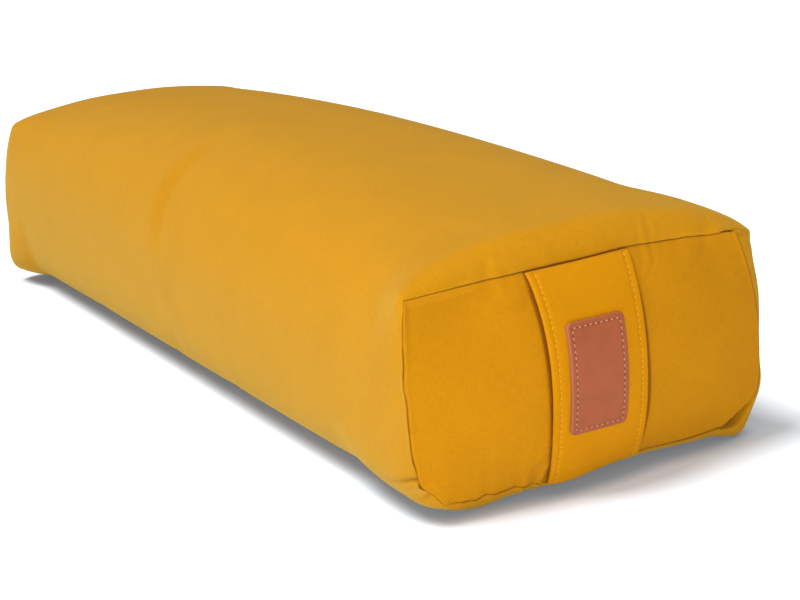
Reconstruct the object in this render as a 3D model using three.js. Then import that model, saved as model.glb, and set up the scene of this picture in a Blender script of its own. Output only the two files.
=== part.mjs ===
// A yoga bolster: a long, firmly filled cushion. One cloth wraps its top, sides and underside,
// a flat panel is sewn into each end, and one end has a carrying strap with a small leather patch.
// Millimetres. +X runs along the length towards the strap end, +Y across the width, +Z up.
// The origin is the middle of the flat underside.

import * as THREE from 'three';

// Half of the length, from the middle to the seam round an end panel.
const SEAM_X = 325;

// The seams round the two end panels.
const SEAM = {
  lift: 7.4, // the underside tucks up this far at each end
  height: 108.7,
  arch: 1.5, // the top edge is a little higher at its middle
  bulge: 6.1, // the upright edges bow outward between their corners
  cornerRadius: 16, // of the two lower corners
};

// How far each seam's corners reach from its middle, left towards -Y and right towards +Y. The
// strap end is filled unevenly. The plain end isn't seen, so it is kept regular.
const STRAP_END = { topLeft: 101.5, topRight: 93.6, lowLeft: 101.6, lowRight: 106.9 };
const PLAIN_END = { topLeft: 95, topRight: 95, lowLeft: 105.5, lowRight: 105.5 };

// Places where the filling pulls the strap end's seam out of line: at [y, z], by [across, up].
const SEAM_BENDS = [
  { at: [48, 7.4], push: [0, 1.8], spread: 15 },
  { at: [-45, 7.4], push: [0, 0.9], spread: 30 },
  { at: [103, 13], push: [-3.5, 3], spread: 11 },
  { at: [93.6, 116.1], push: [-0.5, 1.8], spread: 7 },
  { at: [-97, 13], push: [3.4, 3.4], spread: 9 },
];

// The section half way along, where the filling pushes the cloth up to a crown.
const CROWN = {
  width: 214,
  height: 152.2,
  waist: 0.505, // height of the widest line, as a share of the whole height
  upperFullness: 2.6, // exponent of the superellipse above the waist
  lowerFullness: 4.2, // and below it
  flattened: 3, // how much of the curve the floor presses flat
};

// How the wrap swells from the end seam to the crown: first over a tight shoulder, then slowly.
const SWELL = {
  shoulder: 12, // length of the shoulder beside the seam
  risesOnShoulder: 0.5, // share of the rise in height that the shoulder takes
  spreadsOnShoulder: 0.33, // share of the spread in width that it takes
  risePower: 1.94,
  spreadPower: 3.8,
  sinksOnShoulder: 0.5, // share of the drop to the floor that the shoulder takes
  sinksOver: 26, // distance from the seam at which the underside reaches the floor
  sinksBelow: 5, // this far under the seam, cloth sinks to the floor instead of rising slowly
};

// Spare cloth stands out as soft ears beside an end's corners. Each is pushed out by [across, up],
// fades over the spread round the seam at [y, z], and is gone this length from the seam.
const STRAP_END_EARS = [
  { at: [93.6, 116.1], push: [13, -5.5], spread: 17, length: 30 },
  { at: [100, 86], push: [5.2, 0], spread: 23, length: 30 },
  { at: [106.9, 7.4], push: [4, -3], spread: 30, length: 30 },
  { at: [102, 13], push: [4.5, -6.5], spread: 13, length: 30 },
  { at: [-101.5, 116.1], push: [-3, 0], spread: 14, length: 30 },
  { at: [-101.6, 7.4], push: [-2.5, -4.5], spread: 24, length: 40 },
];
const PLAIN_END_EARS = [
  { at: [95, 116.1], push: [2, 3.5], spread: 24, length: 65 },
  { at: [-95, 116.1], push: [-2, 3.5], spread: 24, length: 65 },
  { at: [105.5, 7.4], push: [3.5, -4], spread: 26, length: 40 },
  { at: [-105.5, 7.4], push: [-3.5, -4], spread: 26, length: 40 },
];
const EAR_CREST = 5; // an ear is fullest this far from the seam

const PANEL_THICKNESS = 2;
const PANEL_GAP = 0.5; // from the panel to the filling, along the length; 0.3 square to its steep rim
const PANEL_DOME = 9.5;
const PANEL_ROUNDNESS = 0.85;

const STRAP = {
  topWidth: 59.5,
  width: 57,
  footWidth: 54, // it is gathered a little at its lower end
  thickness: 2.8,
  middle: -5.2, // where its centre line lies across the width
  footAside: 1.2, // its lower end is sewn in this far to the right of that
  bow: 15, // how far its inner face stands off the seam, near half way up
  lifted: 0.08, // it bows out most this far above half way, as a share of half its height
  roundness: 0.85, // no less than the panel's, so that it stays clear of it
  edgeRadius: 0.8,
  seat: 0.6, // its ends lie this far off the panel's rim
};

const PATCH = { width: 33.5, height: 58, thickness: 1.8, cornerRadius: 4.5, y: -6.9, z: 63.9 };
const PATCH_GAP = 0.3; // between the patch and the strap

const SEAM_STEPS = { underside: 7, lowerCorner: 4, upright: 9, top: 18 };
const RING_DISTANCES = [0, 0.7, 2.2, 4.6, 8, 12, 18, 26, 40, 62, 95, 145, 205, 264, SEAM_X];
const PANEL_RINGS = [0.2, 0.42, 0.62, 0.79, 0.91, 0.975];
const STRAP_STEPS = 26;
const PATCH_STEPS = 14;

const wrapCotton = new THREE.MeshStandardMaterial({ color: 0xd99a22, roughness: 0.86, metalness: 0 });
const panelCotton = new THREE.MeshStandardMaterial({ color: 0xd8951b, roughness: 0.86, metalness: 0 });
const strapCotton = new THREE.MeshStandardMaterial({ color: 0xdc930b, roughness: 0.8, metalness: 0 });
const patchLeather = new THREE.MeshStandardMaterial({ color: 0xad6040, roughness: 0.55, metalness: 0 });

/** Skins a stack of closed rings that have equal numbers of points. A point closes each end. */
function skin(name, material, firstPoint, rings, lastPoint) {
  const count = rings[0].length;
  const points = [firstPoint, ...rings.flat(), lastPoint];
  const lastIndex = points.length - 1;
  const at = (ring, k) => 1 + ring * count + (k % count);
  const faces = [];
  for (let k = 0; k < count; k += 1) {
    faces.push(0, at(0, k + 1), at(0, k));
    faces.push(lastIndex, at(rings.length - 1, k), at(rings.length - 1, k + 1));
  }
  for (let ring = 0; ring < rings.length - 1; ring += 1) {
    for (let k = 0; k < count; k += 1) {
      faces.push(at(ring, k), at(ring, k + 1), at(ring + 1, k));
      faces.push(at(ring + 1, k), at(ring, k + 1), at(ring + 1, k + 1));
    }
  }
  const geometry = new THREE.BufferGeometry();
  geometry.setAttribute('position', new THREE.Float32BufferAttribute(points.flat(), 3));
  geometry.setIndex(faces);
  geometry.computeVertexNormals();
  const mesh = new THREE.Mesh(geometry, material);
  mesh.name = name;
  return mesh;
}

/** Adds up pushes that each fade with the distance of a point from the place they are at. */
function addedPushes(point, pushes) {
  const sum = new THREE.Vector2(0, 0);
  for (const { at, push, spread, fullness = 1 } of pushes) {
    const away = point.distanceTo(new THREE.Vector2(...at)) / spread;
    sum.addScaledVector(new THREE.Vector2(...push), fullness * Math.exp(-(away ** 2)));
  }
  return sum;
}

/** An end's seam as (y, z) points, from the middle of its lower edge towards +Y. */
function seamOutline(end, bends) {
  const low = SEAM.lift;
  const top = SEAM.lift + SEAM.height;
  const corner = SEAM.cornerRadius;
  const widest = low + 0.62 * SEAM.height;
  const { lowRight, topRight, topLeft, lowLeft } = end;
  const { bulge } = SEAM;
  const edges = [
    { pull: [0.5 * (lowRight - corner), low], end: [lowRight - corner, low + 1], steps: 'underside' },
    { pull: [lowRight - 3, low + 1.5], end: [lowRight, low + corner], steps: 'lowerCorner' },
    { pull: [lowRight + bulge, widest], end: [topRight, top], steps: 'upright' },
    { pull: [0, top + 2 * SEAM.arch], end: [-topLeft, top], steps: 'top' },
    { pull: [-lowLeft - bulge, widest], end: [-lowLeft, low + corner], steps: 'upright' },
    { pull: [-lowLeft + 3, low + 1.5], end: [-lowLeft + corner, low + 1], steps: 'lowerCorner' },
    { pull: [-0.5 * (lowLeft - corner), low], end: [0, low], steps: 'underside' },
  ];
  const points = [];
  let start = new THREE.Vector2(0, low);
  for (const edge of edges) {
    const curve = new THREE.QuadraticBezierCurve(
      start,
      new THREE.Vector2(...edge.pull),
      new THREE.Vector2(...edge.end),
    );
    const spaced = curve.getSpacedPoints(SEAM_STEPS[edge.steps]);
    points.push(...spaced.slice(0, -1));
    start = curve.v2;
  }
  return points.map((point) => point.clone().add(addedPushes(point, bends)));
}

/** The fullest section as a fine closed line of points, from the middle of the underside. */
function crownOutline() {
  const bottom = -CROWN.flattened;
  const waist = bottom + (CROWN.height - bottom) * CROWN.waist;
  const points = [];
  for (let degree = 0; degree <= 360; degree += 1) {
    const angle = THREE.MathUtils.degToRad(degree - 90);
    const side = Math.cos(angle);
    const up = Math.sin(angle);
    const fullness = up >= 0 ? CROWN.upperFullness : CROWN.lowerFullness;
    const reach = up >= 0 ? CROWN.height - waist : waist - bottom;
    const y = (CROWN.width / 2) * Math.sign(side) * Math.abs(side) ** (2 / fullness);
    const z = waist + reach * Math.sign(up) * Math.abs(up) ** (2 / fullness);
    points.push(new THREE.Vector2(y, Math.max(z, 0)));
  }
  return points;
}

/** The distance travelled along a line of points, at each of them. */
function travelled(points) {
  const lengths = [0];
  for (let i = 1; i < points.length; i += 1) {
    lengths.push(lengths[i - 1] + points[i].distanceTo(points[i - 1]));
  }
  return lengths;
}

/** Points of the fine line at the same shares of its length as the points of the closed outline. */
function matchedPoints(fineLine, outline) {
  const fineLengths = travelled(fineLine);
  const outlineLengths = travelled([...outline, outline[0]]);
  let i = 1;
  return outline.map((_, k) => {
    const wanted = (fineLengths.at(-1) * outlineLengths[k]) / outlineLengths.at(-1);
    while (fineLengths[i] < wanted) i += 1;
    const share = (wanted - fineLengths[i - 1]) / (fineLengths[i] - fineLengths[i - 1]);
    return fineLine[i - 1].clone().lerp(fineLine[i], share);
  });
}

const strapEndSeam = seamOutline(STRAP_END, SEAM_BENDS);
const plainEndSeam = seamOutline(PLAIN_END, []);
const strapEndCrown = matchedPoints(crownOutline(), strapEndSeam);
const plainEndCrown = matchedPoints(crownOutline(), plainEndSeam);
const seamMiddle = new THREE.Vector2(0, SEAM.lift + SEAM.height / 2);
const strapHalf = (SEAM.height + SEAM.arch) / 2;
const strapMiddle = SEAM.lift + strapHalf;

/** How far the ears push the wrap out, for a point of an end's seam. */
function earPush(point, fromSeam, ears) {
  const grown = ears.map((ear) => {
    const span = fromSeam < EAR_CREST ? EAR_CREST : ear.length - EAR_CREST;
    return { ...ear, fullness: Math.max(0, 1 - ((fromSeam - EAR_CREST) / span) ** 2) };
  });
  return addedPushes(point, grown);
}

/** One ring of the wrap at a distance from the seam, at the end on this side (+1 or -1). */
function wrapRing(side, fromSeam) {
  const inward = 1 - fromSeam / SEAM_X;
  const along = Math.min(1, fromSeam / SWELL.shoulder);
  const shoulder = Math.sqrt(1 - (1 - along) ** 2);
  const rise = THREE.MathUtils.lerp(1 - inward ** SWELL.risePower, shoulder, SWELL.risesOnShoulder);
  const spread = THREE.MathUtils.lerp(1 - inward ** SWELL.spreadPower, shoulder, SWELL.spreadsOnShoulder);
  const sink = THREE.MathUtils.lerp(Math.min(1, fromSeam / SWELL.sinksOver), shoulder, SWELL.sinksOnShoulder);
  const x = side * (SEAM_X - fromSeam) * (1 - (PANEL_THICKNESS + PANEL_GAP) / SEAM_X);
  const seam = side > 0 ? strapEndSeam : plainEndSeam;
  const crown = side > 0 ? strapEndCrown : plainEndCrown;
  return seam.map((point, k) => {
    const push = earPush(point, fromSeam, side > 0 ? STRAP_END_EARS : PLAIN_END_EARS);
    const below = THREE.MathUtils.clamp((point.y - crown[k].y) / SWELL.sinksBelow, 0, 1);
    const climb = THREE.MathUtils.lerp(rise, sink, below);
    const y = THREE.MathUtils.lerp(point.x, crown[k].x, spread) + push.x;
    const z = THREE.MathUtils.lerp(point.y, crown[k].y, climb) + push.y;
    return [x, y, Math.max(z, 0)];
  });
}

/** A function that tells how far a seam reaches from its middle in one direction ('x' or 'y', +1 or
 * -1), for a distance of the line from the middle. */
function seamReach(seam, direction, way) {
  const aside = direction === 'x' ? 'y' : 'x';
  const places = seam
    .map((point) => [point[aside] - seamMiddle[aside], way * (point[direction] - seamMiddle[direction])])
    .filter(([, reach]) => reach > 0)
    .sort((a, b) => a[0] - b[0]);
  return (wanted) => {
    let i = 1;
    while (i < places.length - 1 && places[i][0] < wanted) i += 1;
    const gap = Math.max(places[i][0] - places[i - 1][0], 1e-6);
    const share = THREE.MathUtils.clamp((wanted - places[i - 1][0]) / gap, 0, 1);
    return THREE.MathUtils.lerp(places[i - 1][1], places[i][1], share);
  };
}

/** One ring of an end's dome, at a share of the way from its middle out to its seam. */
function domeRing(side, share, seat) {
  const seam = side > 0 ? strapEndSeam : plainEndSeam;
  const [right, left] = [seamReach(seam, 'x', 1), seamReach(seam, 'x', -1)];
  const [up, down] = [seamReach(seam, 'y', 1), seamReach(seam, 'y', -1)];
  return seam.map((point) => {
    const y = share * point.x;
    const lift = share * (point.y - seamMiddle.y);
    const across = Math.min(1, Math.abs(y) / (y > 0 ? right(lift) : left(lift)));
    const upright = Math.min(1, Math.abs(lift) / (lift > 0 ? up(y) : down(y)));
    const dome = PANEL_DOME * ((1 - across ** 2) * (1 - upright ** 2)) ** PANEL_ROUNDNESS;
    return [side * (SEAM_X - seat + dome), y, seamMiddle.y + lift];
  });
}

/** The middle of an end's dome. seat is how far it lies beneath the panel's outer face. */
function domeMiddle(side, seat) {
  return [side * (SEAM_X - seat + PANEL_DOME), seamMiddle.x, seamMiddle.y];
}

/** The filled wrap, from one end under its panel to the other. */
function filledBody() {
  const seat = PANEL_THICKNESS + PANEL_GAP;
  const farDome = PANEL_RINGS.map((share) => domeRing(-1, share, seat));
  const farHalf = RING_DISTANCES.map((distance) => wrapRing(-1, distance));
  const nearHalf = RING_DISTANCES.slice(0, -1).reverse().map((distance) => wrapRing(1, distance));
  const nearDome = [...PANEL_RINGS].reverse().map((share) => domeRing(1, share, seat));
  const rings = [...farDome, ...farHalf, ...nearHalf, ...nearDome];
  return skin('filled_body', wrapCotton, domeMiddle(-1, seat), rings, domeMiddle(1, seat));
}

/** A panel sewn into one end: a thin sheet that the filling domes outward. */
function endPanel(name, side) {
  const backSeat = side > 0 ? PANEL_THICKNESS : 0;
  const frontSeat = side > 0 ? 0 : PANEL_THICKNESS;
  const shares = [...PANEL_RINGS, 1];
  const back = shares.map((share) => domeRing(side, share, backSeat));
  const front = shares.toReversed().map((share) => domeRing(side, share, frontSeat));
  return skin(name, panelCotton, domeMiddle(side, backSeat), [...back, ...front], domeMiddle(side, frontSeat));
}

/** A point [x, z] of the strap's inner face and its outward direction, at a height share from -1
 * to 1. At both ends the strap's thickness turns level, to lie flat where the seam grips it. */
function strapLine(share) {
  const bowAt = (height) => {
    const t = THREE.MathUtils.clamp(height, -1, 1);
    return STRAP.bow * (1 - (t - STRAP.lifted * (1 - t ** 2)) ** 2) ** STRAP.roundness;
  };
  const step = 0.01;
  const slope = (bowAt(share + step) - bowAt(share - step)) / (2 * step * strapHalf);
  const point = new THREE.Vector2(SEAM_X + STRAP.seat + bowAt(share), strapMiddle + share * strapHalf);
  const outward = new THREE.Vector2(1, -slope * (1 - share ** 8)).normalize();
  return { point, outward };
}

/** A flat band's section: front edge rounded at both sides, then back to the inner face. */
function bandRing(line, y, width, thickness, edge) {
  const corners = [
    [-width / 2 + edge, thickness],
    [width / 2 - edge, thickness],
    [width / 2, thickness - edge],
    [width / 2, edge],
    [width / 2 - edge, 0],
    [-width / 2 + edge, 0],
    [-width / 2, edge],
    [-width / 2, thickness - edge],
  ];
  return corners.map(([across, out]) => {
    const place = line.point.clone().addScaledVector(line.outward, out);
    return [place.x, y + across, place.y];
  });
}

function ringMiddle(ring) {
  const middle = new THREE.Vector3();
  for (const point of ring) {
    middle.add(new THREE.Vector3(...point));
  }
  return middle.divideScalar(ring.length).toArray();
}

/** The carrying strap, sewn in at the upper and lower seam and bowed off the panel between. */
function handleStrap() {
  const rings = [];
  for (let i = 0; i <= STRAP_STEPS; i += 1) {
    const share = -Math.cos((Math.PI * i) / STRAP_STEPS);
    const gather = THREE.MathUtils.smoothstep(-share, 0.35, 1);
    const wider = (STRAP.topWidth - STRAP.width) * Math.max(0, share) ** 2;
    const width = THREE.MathUtils.lerp(STRAP.width, STRAP.footWidth, gather) + wider;
    const middle = STRAP.middle + STRAP.footAside * gather;
    rings.push(bandRing(strapLine(share), middle, width, STRAP.thickness, STRAP.edgeRadius));
  }
  return skin('handle_strap', strapCotton, ringMiddle(rings[0]), rings, ringMiddle(rings.at(-1)));
}

/** The leather patch, a rounded rectangle sewn flat on the strap and bent with it. */
function leatherPatch() {
  const halfHeight = PATCH.height / 2;
  const straight = halfHeight - PATCH.cornerRadius;
  const rings = [];
  for (let i = 0; i <= PATCH_STEPS; i += 1) {
    const up = -halfHeight * Math.cos((Math.PI * i) / PATCH_STEPS);
    const intoCorner = Math.max(0, Math.abs(up) - straight);
    const inset = PATCH.cornerRadius - Math.sqrt(PATCH.cornerRadius ** 2 - intoCorner ** 2);
    const share = (PATCH.z + up - strapMiddle) / strapHalf;
    const line = strapLine(share);
    line.point.addScaledVector(line.outward, STRAP.thickness + PATCH_GAP);
    rings.push(bandRing(line, PATCH.y, PATCH.width - 2 * inset, PATCH.thickness, 0.4));
  }
  return skin('leather_patch', patchLeather, ringMiddle(rings[0]), rings, ringMiddle(rings.at(-1)));
}

const bolster = new THREE.Group();
bolster.add(filledBody());
bolster.add(endPanel('end_panel_handle', 1));
bolster.add(endPanel('end_panel_plain', -1));
bolster.add(handleStrap());
bolster.add(leatherPatch());

export default bolster;
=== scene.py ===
# A yoga bolster of mustard cotton: one cloth wrapped round the filling, a panel sewn into each
# end, and across one end a carrying strap with a bare leather patch. Metres, +X along the length
# towards the strap, +Z up, on a plain pale floor.

import math
import bpy
import numpy as np
from mathutils import Matrix, Vector


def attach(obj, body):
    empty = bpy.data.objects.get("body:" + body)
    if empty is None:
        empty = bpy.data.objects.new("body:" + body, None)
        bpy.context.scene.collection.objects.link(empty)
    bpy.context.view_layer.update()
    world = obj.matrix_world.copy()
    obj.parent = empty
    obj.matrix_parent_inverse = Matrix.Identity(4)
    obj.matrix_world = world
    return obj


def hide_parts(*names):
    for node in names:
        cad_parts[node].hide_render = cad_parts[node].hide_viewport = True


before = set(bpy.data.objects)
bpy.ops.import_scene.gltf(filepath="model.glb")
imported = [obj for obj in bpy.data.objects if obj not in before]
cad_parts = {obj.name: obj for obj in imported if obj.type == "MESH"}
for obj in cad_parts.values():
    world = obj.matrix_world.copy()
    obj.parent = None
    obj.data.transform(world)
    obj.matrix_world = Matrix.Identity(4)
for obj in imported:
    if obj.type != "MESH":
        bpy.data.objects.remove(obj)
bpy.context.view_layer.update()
MM = 0.001

# The camera stands low beyond the strap end, left of the bolster's long side, and looks along it
# through a short telephoto lens, tipped a few degrees.
CAMERA_AZIMUTH = math.radians(62.61)
CAMERA_ELEVATION = math.radians(15.52)
CAMERA_ROLL = math.radians(-4.57)
CAMERA_DISTANCE = 1.0391
CAMERA_TARGET = Vector((0.1442, -0.0093, 0.0604))
CAMERA_LENS = 80.08


def add_object(name, data):
    """An object with this name and data, in the scene."""
    added = bpy.data.objects.new(name, data)
    bpy.context.scene.collection.objects.link(added)
    return added


level = math.cos(CAMERA_ELEVATION)
toward_camera = Vector((
    level * math.sin(CAMERA_AZIMUTH),
    -level * math.cos(CAMERA_AZIMUTH),
    math.sin(CAMERA_ELEVATION),
))
camera_data = bpy.data.cameras.new("camera")
camera_data.lens = CAMERA_LENS
camera_data.clip_end = 50
camera = add_object("camera", camera_data)
turn = toward_camera.to_track_quat("Z", "Y").to_matrix().to_4x4()
place = Matrix.Translation(CAMERA_TARGET + CAMERA_DISTANCE * toward_camera)
camera.matrix_world = place @ turn @ Matrix.Rotation(CAMERA_ROLL, 4, "Z")
bpy.context.scene.camera = camera

# The floor is a wide sheet of white paper in a white room that is dimmer behind the bolster. A
# broad sun from the left and a window before the strap end light it softly, so the bolster casts
# a faint shadow to its right. A dark shadow where it touches the paper, and a cool tint in the
# shade round it, are painted into the paper's colour, and the paper glows faintly to lift them.
FLOOR_SIZE = 30
PAPER_COLOUR = (0.91, 0.935, 0.96, 1)
SHADED_PAPER, SHADED_REACH = (0.76, 0.89, 1, 1), 0.2
PAPER_PAINTED_GLOW, PAINTED_GLOW_COLOUR = 0.09, (0.65, 0.85, 1, 1)
CONTACT_REACH, CONTACT_SHADOW_COLOUR = 0.016, (0.40, 0.44, 0.50, 1)
CONTACT_FULL, CONTACT_NONE = 0.35, 0.8
ROOM_BRIGHT, ROOM_DIM = 0.52, 0.2
DIM_SIDE, DIM_FROM, DIM_TO = (0.1, 0.9, 0.4), -0.1, 0.9
SUN_AZIMUTH, SUN_ELEVATION = math.radians(-115), math.radians(65)
SUN_STRENGTH, SUN_SPREAD = 3.55, math.radians(28)
WINDOW_AT, WINDOW_AIM = Vector((1.35, -0.6, 0.26)), Vector((0.33, -0.05, 0.07))
WINDOW_SIZE, WINDOW_POWER = 0.4, 12.2


def shader_node(owner, kind, inputs=None, **settings):
    """A node of a material or world. inputs gives each input's constant, or what feeds it."""
    node = owner.node_tree.nodes.new(kind)
    for key, value in settings.items():
        setattr(node, key, value)
    for key, value in (inputs or {}).items():
        if isinstance(value, bpy.types.NodeSocket):
            owner.node_tree.links.new(value, node.inputs[key])
        else:
            node.inputs[key].default_value = value
    return node


bpy.context.scene.view_settings.view_transform = "Standard"
room = bpy.data.worlds.new("room")
room.use_nodes = True
background = room.node_tree.nodes["Background"]
background.inputs["Color"].default_value = (1, 1, 1, 1)
way = shader_node(room, "ShaderNodeTexCoord").outputs["Generated"]
toward_dim = shader_node(
    room, "ShaderNodeVectorMath", {0: way, 1: DIM_SIDE}, operation="DOT_PRODUCT"
).outputs["Value"]
room_light = shader_node(room, "ShaderNodeMapRange", {
    "Value": toward_dim, "From Min": DIM_FROM, "From Max": DIM_TO,
    "To Min": ROOM_BRIGHT, "To Max": ROOM_DIM,
}, interpolation_type="SMOOTHSTEP").outputs["Result"]
room.node_tree.links.new(room_light, background.inputs["Strength"])
bpy.context.scene.world = room

paper = bpy.data.materials.new("white_paper")
paper.use_nodes = True
paper_shader = paper.node_tree.nodes["Principled BSDF"]
# Painted shade: the paper's colour darkens to a cool grey where the bolster touches it, and turns cooler in
# the wider shade round it.
nearby = shader_node(paper, "ShaderNodeAmbientOcclusion", {"Distance": CONTACT_REACH}).outputs["AO"]
around_it = shader_node(paper, "ShaderNodeAmbientOcclusion", {"Distance": SHADED_REACH}).outputs["AO"]
contact_shadow = shader_node(paper, "ShaderNodeMapRange", {
    "Value": nearby, "From Min": CONTACT_FULL, "From Max": CONTACT_NONE,
}).outputs["Result"]
shaded = shader_node(paper, "ShaderNodeMixRGB", {
    "Fac": around_it, "Color1": SHADED_PAPER, "Color2": PAPER_COLOUR,
}).outputs["Color"]
paper_tone = shader_node(paper, "ShaderNodeMixRGB", {
    "Fac": contact_shadow, "Color1": CONTACT_SHADOW_COLOUR, "Color2": shaded,
}).outputs["Color"]
paper.node_tree.links.new(paper_tone, paper_shader.inputs["Base Color"])
paper_shader.inputs["Roughness"].default_value = 0.9
# Painted light: the paper glows faintly, though it is no lamp, so its shadows are lighter and cooler.
paper_shader.inputs["Emission Color"].default_value = PAINTED_GLOW_COLOUR
paper_shader.inputs["Emission Strength"].default_value = PAPER_PAINTED_GLOW
half = FLOOR_SIZE / 2
floor_mesh = bpy.data.meshes.new("floor")
floor_corners = [(-half, -half, 0), (half, -half, 0), (half, half, 0), (-half, half, 0)]
floor_mesh.from_pydata(floor_corners, [], [(0, 1, 2, 3)])
floor_mesh.materials.append(paper)
floor = add_object("floor", floor_mesh)

sun_data = bpy.data.lights.new("sun", "SUN")
sun_data.energy = SUN_STRENGTH
sun_data.angle = SUN_SPREAD
sun = add_object("sun", sun_data)
toward_sun = Vector((
    math.cos(SUN_ELEVATION) * math.cos(SUN_AZIMUTH),
    math.cos(SUN_ELEVATION) * math.sin(SUN_AZIMUTH),
    math.sin(SUN_ELEVATION),
))
sun.rotation_euler = toward_sun.to_track_quat("Z", "Y").to_euler()

window_data = bpy.data.lights.new("window", "AREA")
window_data.size = WINDOW_SIZE
window_data.energy = WINDOW_POWER
window = add_object("window", window_data)
window.location = WINDOW_AT
window.rotation_euler = (WINDOW_AIM - WINDOW_AT).to_track_quat("-Z", "Y").to_euler()

# The wrap is one piece of fine cotton twill round top, sides and underside, closed on the
# filling. Seams draw it in at both ends, where it puckers and stands out as soft ears beside the
# panels' corners. The filling lifts it to a crown, and the floor presses its underside flat.
SEAM_X = 325 * MM
SEAM_LIFT = 7.4 * MM
SEAM_HEIGHT = 108.7 * MM
SEAM_ARCH = 1.5 * MM
TOP_LEFT, TOP_RIGHT = 101.5 * MM, 93.6 * MM
LOW_LEFT, LOW_RIGHT = 101.6 * MM, 106.9 * MM
PLAIN_TOP, PLAIN_LOW = 95 * MM, 105.5 * MM
SIDE_BULGE = 6.1 * MM
CORNER_RADIUS = 16 * MM
SEAM_TOP = SEAM_LIFT + SEAM_HEIGHT
SEAM_MIDDLE = SEAM_LIFT + SEAM_HEIGHT / 2
UNDERSIDE_STEPS, CORNER_STEPS, UPRIGHT_STEPS, TOP_STEPS = 84, 32, 76, 168


def even_curve(start, pull, end, steps):
    """Points at equal steps along a quadratic curve, without its last one."""
    t = np.linspace(0, 1, 400)[:, None]
    fine = (1 - t) ** 2 * np.array(start) + 2 * t * (1 - t) * np.array(pull) + t ** 2 * np.array(end)
    lengths = np.concatenate([[0], np.cumsum(np.linalg.norm(np.diff(fine, axis=0), axis=1))])
    wanted = np.linspace(0, lengths[-1], steps, endpoint=False)
    return np.stack([np.interp(wanted, lengths, fine[:, i]) for i in (0, 1)], axis=1)


def seam_outline(top_left, top_right, low_left, low_right):
    """An end's seam as (y, z) rows, from the middle of its lower edge towards +Y."""
    low, top, corner = SEAM_LIFT, SEAM_TOP, CORNER_RADIUS
    widest = low + 0.62 * SEAM_HEIGHT
    edges = [
        ((0.5 * (low_right - corner), low), (low_right - corner, low + 1 * MM), UNDERSIDE_STEPS),
        ((low_right - 3 * MM, low + 1.5 * MM), (low_right, low + corner), CORNER_STEPS),
        ((low_right + SIDE_BULGE, widest), (top_right, top), UPRIGHT_STEPS),
        ((0, top + 2 * SEAM_ARCH), (-top_left, top), TOP_STEPS),
        ((-low_left - SIDE_BULGE, widest), (-low_left, low + corner), UPRIGHT_STEPS),
        ((-low_left + 3 * MM, low + 1.5 * MM), (-low_left + corner, low + 1 * MM), CORNER_STEPS),
        ((-0.5 * (low_left - corner), low), (0, low), UNDERSIDE_STEPS),
    ]
    rows = []
    start = (0, low)
    for pull, end, steps in edges:
        rows.append(even_curve(start, pull, end, steps))
        start = end
    return np.concatenate(rows)


def travelled(rows):
    """The distance along a closed line of rows, at each row and back at the first."""
    steps = np.linalg.norm(np.diff(np.vstack([rows, rows[:1]]), axis=0), axis=1)
    return np.concatenate([[0], np.cumsum(steps)])


def outward(rows):
    """The outward direction in the plane of a closed line of rows, at each row."""
    tangent = np.roll(rows, -1, axis=0) - np.roll(rows, 1, axis=0)
    normal = np.stack([tangent[:, 1], -tangent[:, 0]], axis=1)
    return normal / np.linalg.norm(normal, axis=1)[:, None]


CROWN_WIDTH = 214 * MM
CROWN_HEIGHT = 152.2 * MM
CROWN_WAIST = 0.505
UPPER_FULLNESS, LOWER_FULLNESS = 2.6, 4.2
FLATTENED = 3 * MM


def crown_outline(shares):
    """The fullest section as (y, z) rows at shares of its length."""
    bottom = -FLATTENED
    waist = bottom + (CROWN_HEIGHT - bottom) * CROWN_WAIST
    angle = np.radians(np.arange(0, 360, 0.5) - 90)
    side, up = np.cos(angle), np.sin(angle)
    fullness = np.where(up >= 0, UPPER_FULLNESS, LOWER_FULLNESS)
    reach = np.where(up >= 0, CROWN_HEIGHT - waist, waist - bottom)
    y = CROWN_WIDTH / 2 * np.sign(side) * np.abs(side) ** (2 / fullness)
    z = np.maximum(waist + reach * np.sign(up) * np.abs(up) ** (2 / fullness), 0)
    fine = np.stack([y, z], axis=1)
    fine_lengths = travelled(fine)
    closed = np.vstack([fine, fine[:1]])
    wanted = shares * fine_lengths[-1]
    return np.stack([np.interp(wanted, fine_lengths, closed[:, i]) for i in (0, 1)], axis=1)


SEAM_BENDS = [
    {"at": at, "push": (aside * MM, up * MM), "spread": spread * MM}
    for at, (aside, up), spread in [
        ((30 * MM, SEAM_LIFT), (0, 2.2), 27),
        ((78 * MM, SEAM_LIFT), (0, 1.4), 16),
        ((-20 * MM, SEAM_LIFT), (0, -2.0), 15),
        ((-50 * MM, SEAM_LIFT), (0, 0.9), 24),
        ((103 * MM, 13 * MM), (-3.5, 3.0), 11),
        ((TOP_RIGHT, SEAM_TOP), (0.4, -0.8), 14),
        ((78 * MM, SEAM_TOP), (0, -1.0), 13),
        ((-97 * MM, 13 * MM), (3.4, 3.4), 9),
        ((25 * MM, SEAM_TOP), (0, 1.1), 18),
    ]
]
SEAM_WOBBLES = [
    {"at": (-62 * MM, SEAM_LIFT), "size": 0.6 * MM, "pitch": 15 * MM, "spread": 28 * MM},
    {"at": (-103 * MM, 50 * MM), "size": 0.35 * MM, "pitch": 31 * MM, "spread": 45 * MM},
    {"at": (72 * MM, SEAM_TOP), "size": 0.15 * MM, "pitch": 19 * MM, "spread": 22 * MM},
]
WOBBLE_REACH = 2.5 * MM


def bends(rows):
    """How far the strap end's seam bends away from its plain outline."""
    push = np.zeros_like(rows)
    for bend in SEAM_BENDS:
        away = np.linalg.norm(rows - bend["at"], axis=1) / bend["spread"]
        push += np.exp(-away ** 2)[:, None] * np.array(bend["push"])
    return push


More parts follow.
